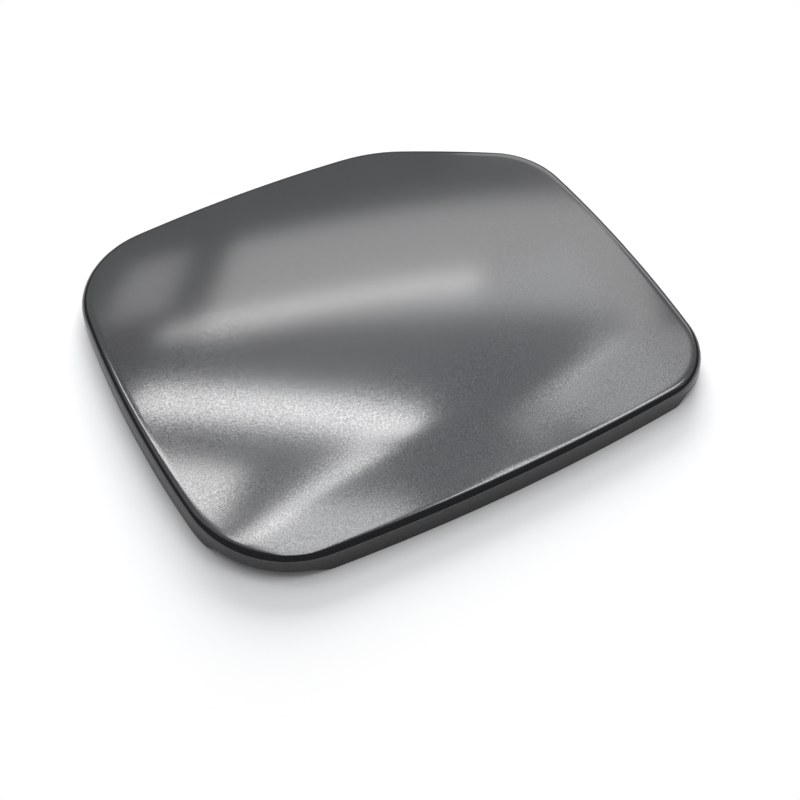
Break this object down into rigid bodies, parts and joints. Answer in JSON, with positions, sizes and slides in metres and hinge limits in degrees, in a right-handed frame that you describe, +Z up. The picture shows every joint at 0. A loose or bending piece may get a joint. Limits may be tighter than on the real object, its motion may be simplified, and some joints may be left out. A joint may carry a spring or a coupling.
{
  "type": "car fuel door",
  "caption": "Pressed steel car fuel door with a turned-down skirt and a cut-off corner, backed by an inner panel that carries hinge nuts, a slotted striker, bump stops and sealer pads.",
  "frame": {"origin": "middle of the door's footprint, on the plane of the skirt's lower edge", "axes": "+X along the long front side, +Y towards the back side with the cut-off corner, +Z up through the painted face"},
  "size_m": [0.2, 0.165, 0.012],
  "materials": {
    "skin_primer": "satin black primer with fine orange peel",
    "panel_primer": "satin black dip primer",
    "plate_steel": "phosphated steel plate",
    "zinc_plate": "yellowish zinc plating",
    "stop_rubber": "moulded black rubber",
    "sealer": "cured expandable sealer"
  },
  "bodies": {
    "root": {"outer_skin": "skin_primer", "inner_panel": "panel_primer", "hinge_plate": "plate_steel", "striker_plate": "plate_steel", "weld_nut_front": "zinc_plate", "weld_nut_rear": "zinc_plate", "striker_rivet_front": "zinc_plate", "striker_rivet_rear": "zinc_plate", "bump_stop_front": "stop_rubber", "bump_stop_rear": "stop_rubber", "sealer_pad_1": "sealer", "sealer_pad_2": "sealer", "sealer_pad_3": "sealer", "sealer_pad_4": "sealer", "sealer_pad_5": "sealer", "sealer_pad_6": "sealer"}
  },
  "joints": []
}
